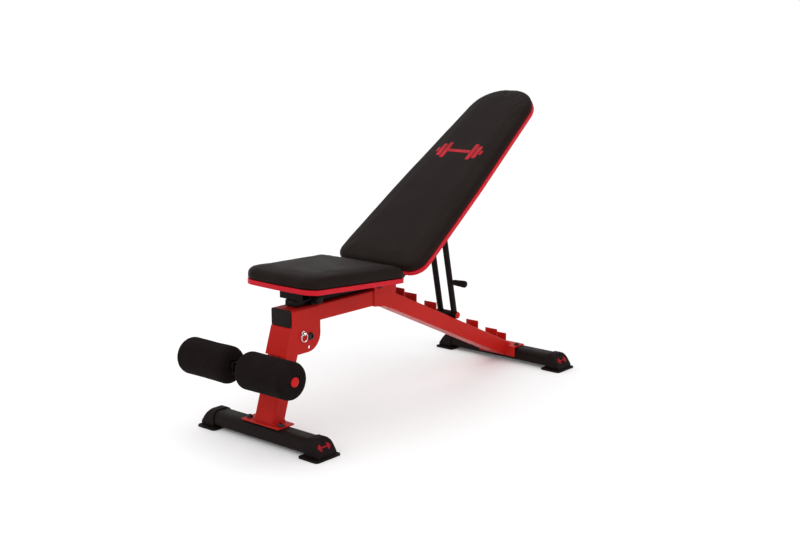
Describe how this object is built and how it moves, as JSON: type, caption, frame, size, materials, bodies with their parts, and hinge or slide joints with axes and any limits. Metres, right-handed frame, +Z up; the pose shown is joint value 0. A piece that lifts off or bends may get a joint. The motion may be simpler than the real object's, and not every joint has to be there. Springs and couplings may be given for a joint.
{
  "type": "decline sit up bench",
  "caption": "Folding gym bench with a tilting seat, a reclining padded backrest held by a ladder strut, foam ankle rollers and two cross feet",
  "frame": {"origin": "bottom centre of the bounding box, on the floor, with the bench set up as in the picture", "axes": "+Y along the bench from the foam rollers towards the head end of the backrest, +X towards the side with the pull pin, the seat knob and the strut's handle, +Z up"},
  "size_m": [0.466, 1.1754, 0.8182],
  "materials": {
    "red_paint": "glossy powder coat",
    "black_paint": "satin powder coat",
    "black_steel": "black oxide",
    "chrome": "polished",
    "rubber": "matt moulded",
    "foam": "matt closed-cell foam",
    "vinyl": "grained black vinyl",
    "red_vinyl": "smooth red vinyl",
    "red_plastic": "moulded",
    "black_plastic": "moulded",
    "black_board": "plywood under a black woven backing"
  },
  "bodies": {
    "frame": {"front_beam": "red_paint", "front_beam_plug": "black_plastic", "hinge_bracket": "red_paint", "hinge_tower": "red_paint", "rear_spine": "red_paint", "rack_tooth_1": "red_paint", "rack_tooth_2": "red_paint", "rack_tooth_3": "red_paint", "rack_tooth_4": "red_paint", "rack_tooth_5": "red_paint", "rack_tooth_6": "red_paint", "rack_tooth_7": "red_paint", "rear_saddle": "red_paint", "rear_foot_tube": "black_paint", "rear_foot_cap_left": "rubber", "rear_foot_cap_right": "rubber", "rear_bolt_left": "black_steel", "rear_bolt_right": "black_steel", "leg_pivot_bolt": "black_steel", "back_hinge_bolt": "black_steel", "seat_hinge_bolt": "black_steel", "seat_lug": "black_paint"},
    "front_leg": {"leg_tube": "red_paint", "leg_ear_left": "red_paint", "leg_ear_right": "red_paint", "front_saddle": "red_paint", "front_foot_tube": "black_paint", "front_foot_cap_left": "rubber", "front_foot_cap_right": "rubber", "front_bolt_left": "black_steel", "front_bolt_right": "black_steel", "roller_holder": "black_paint", "roller_bar": "black_paint"},
    "roller_left": {"foam_roller_left": "foam", "roller_plug_left": "red_plastic"},
    "roller_right": {"foam_roller_right": "foam", "roller_plug_right": "red_plastic"},
    "lock_pin": {"lock_pin": "chrome"},
    "lock_ring": {"lock_ring": "chrome"},
    "seat": {"seat_tube": "black_paint", "seat_front_riser": "black_paint", "seat_rear_riser": "black_paint", "seat_arc_plate": "black_paint", "seat_board": "black_board", "seat_trim": "red_vinyl", "seat_pad": "vinyl"},
    "seat_knob": {"seat_knob": "black_plastic"},
    "backrest": {"back_rail_left": "black_paint", "back_rail_right": "black_paint", "back_crossbar": "black_paint", "back_board": "black_board", "back_trim": "red_vinyl", "back_pad": "vinyl", "strut_bolt": "black_steel"},
    "strut": {"strut_arm_left": "black_paint", "strut_arm_right": "black_paint", "strut_foot_bar": "black_paint", "strut_cap_left": "red_plastic", "strut_cap_right": "red_plastic", "strut_handle": "rubber"}
  },
  "joints": [
    {"name": "front_leg_fold", "type": "hinge", "parent": "frame", "child": "front_leg", "pos_m": [0, -0.33502, 0.2485], "axis": [1, 0, 0], "range_deg": [0, 107]},
    {"name": "lock_pin_pull", "type": "slide", "parent": "frame", "child": "lock_pin", "axis": [1, 0, 0], "range_m": [0, 0.085]},
    {"name": "lock_ring_swing", "type": "hinge", "parent": "lock_pin", "child": "lock_ring", "pos_m": [0.0414, -0.3604, 0.26033], "axis": [0, -1, 0], "range_deg": [0, 90]},
    {"name": "seat_tilt", "type": "hinge", "parent": "frame", "child": "seat", "pos_m": [0, -0.07372, 0.334], "axis": [-1, 0, 0], "range_deg": [0, 10]},
    {"name": "seat_knob_turn", "type": "hinge", "parent": "frame", "child": "seat_knob", "pos_m": [0, -0.30772, 0.3385], "axis": [1, 0, 0], "range_deg": [-360, 0]},
    {"name": "backrest_recline", "type": "hinge", "parent": "frame", "child": "backrest", "pos_m": [0, -0.01772, 0.352], "axis": [1, 0, 0], "range_deg": [0, 36.3]},
    {"name": "strut_swing", "type": "hinge", "parent": "backrest", "child": "strut", "pos_m": [0, 0.1975, 0.51027], "axis": [1, 0, 0], "range_deg": [-39.3, 0]},
    {"name": "roller_left_spin", "type": "hinge", "parent": "front_leg", "child": "roller_left", "pos_m": [-0.105, -0.54072, 0.205], "axis": [1, 0, 0], "continuous": true},
    {"name": "roller_right_spin", "type": "hinge", "parent": "front_leg", "child": "roller_right", "pos_m": [0.105, -0.54072, 0.205], "axis": [1, 0, 0], "continuous": true}
  ],
  "couplings": [
    {"joint": "strut_swing", "follows": "backrest_recline", "ratio": -1.08}
  ]
}
